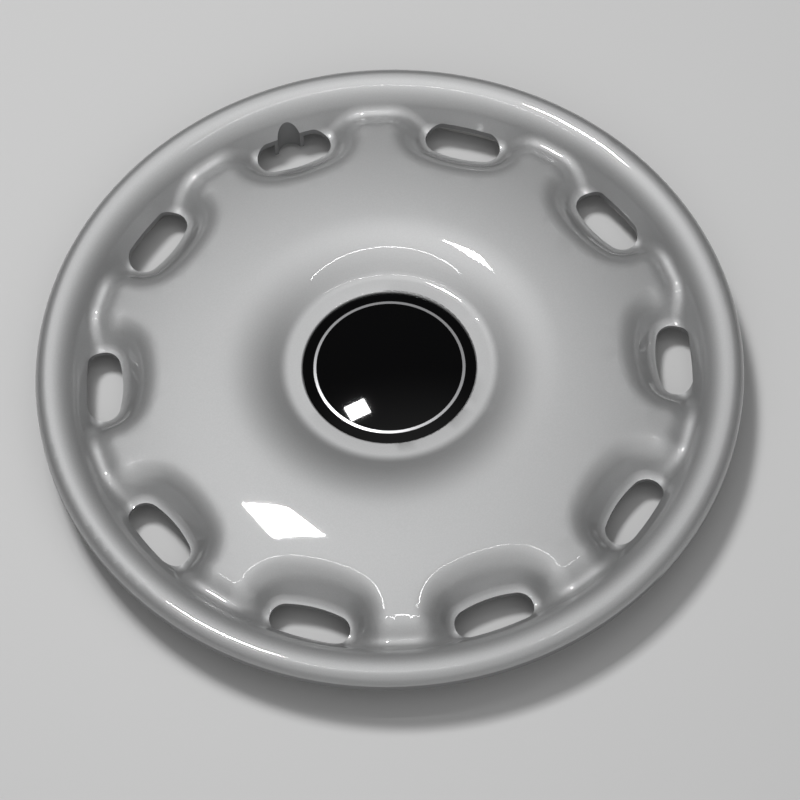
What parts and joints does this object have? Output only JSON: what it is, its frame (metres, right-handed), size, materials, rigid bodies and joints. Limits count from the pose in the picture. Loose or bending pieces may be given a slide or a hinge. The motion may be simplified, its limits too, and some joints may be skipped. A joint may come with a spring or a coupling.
{
  "type": "wheel cover",
  "caption": "Round moulded wheel cover with a rolled rim, scalloped oval vents, a valve notch, clip legs with a wire retaining ring, and a domed centre badge.",
  "frame": {"origin": "centre of the cover, on the plane the leg feet stand on", "axes": "+Z out of the wheel through the badge; +X through the middle of a vent"},
  "size_m": [0.38, 0.38, 0.0345],
  "materials": {
    "silver_paint": "silver paint under gloss lacquer",
    "spring_wire": "drawn spring wire, bent to an open ring",
    "badge_black": "gloss black with a thin silver pinstripe"
  },
  "bodies": {
    "root": {"wheel_cover": "silver_paint", "retaining_ring": "spring_wire", "centre_badge": "badge_black"}
  },
  "joints": []
}
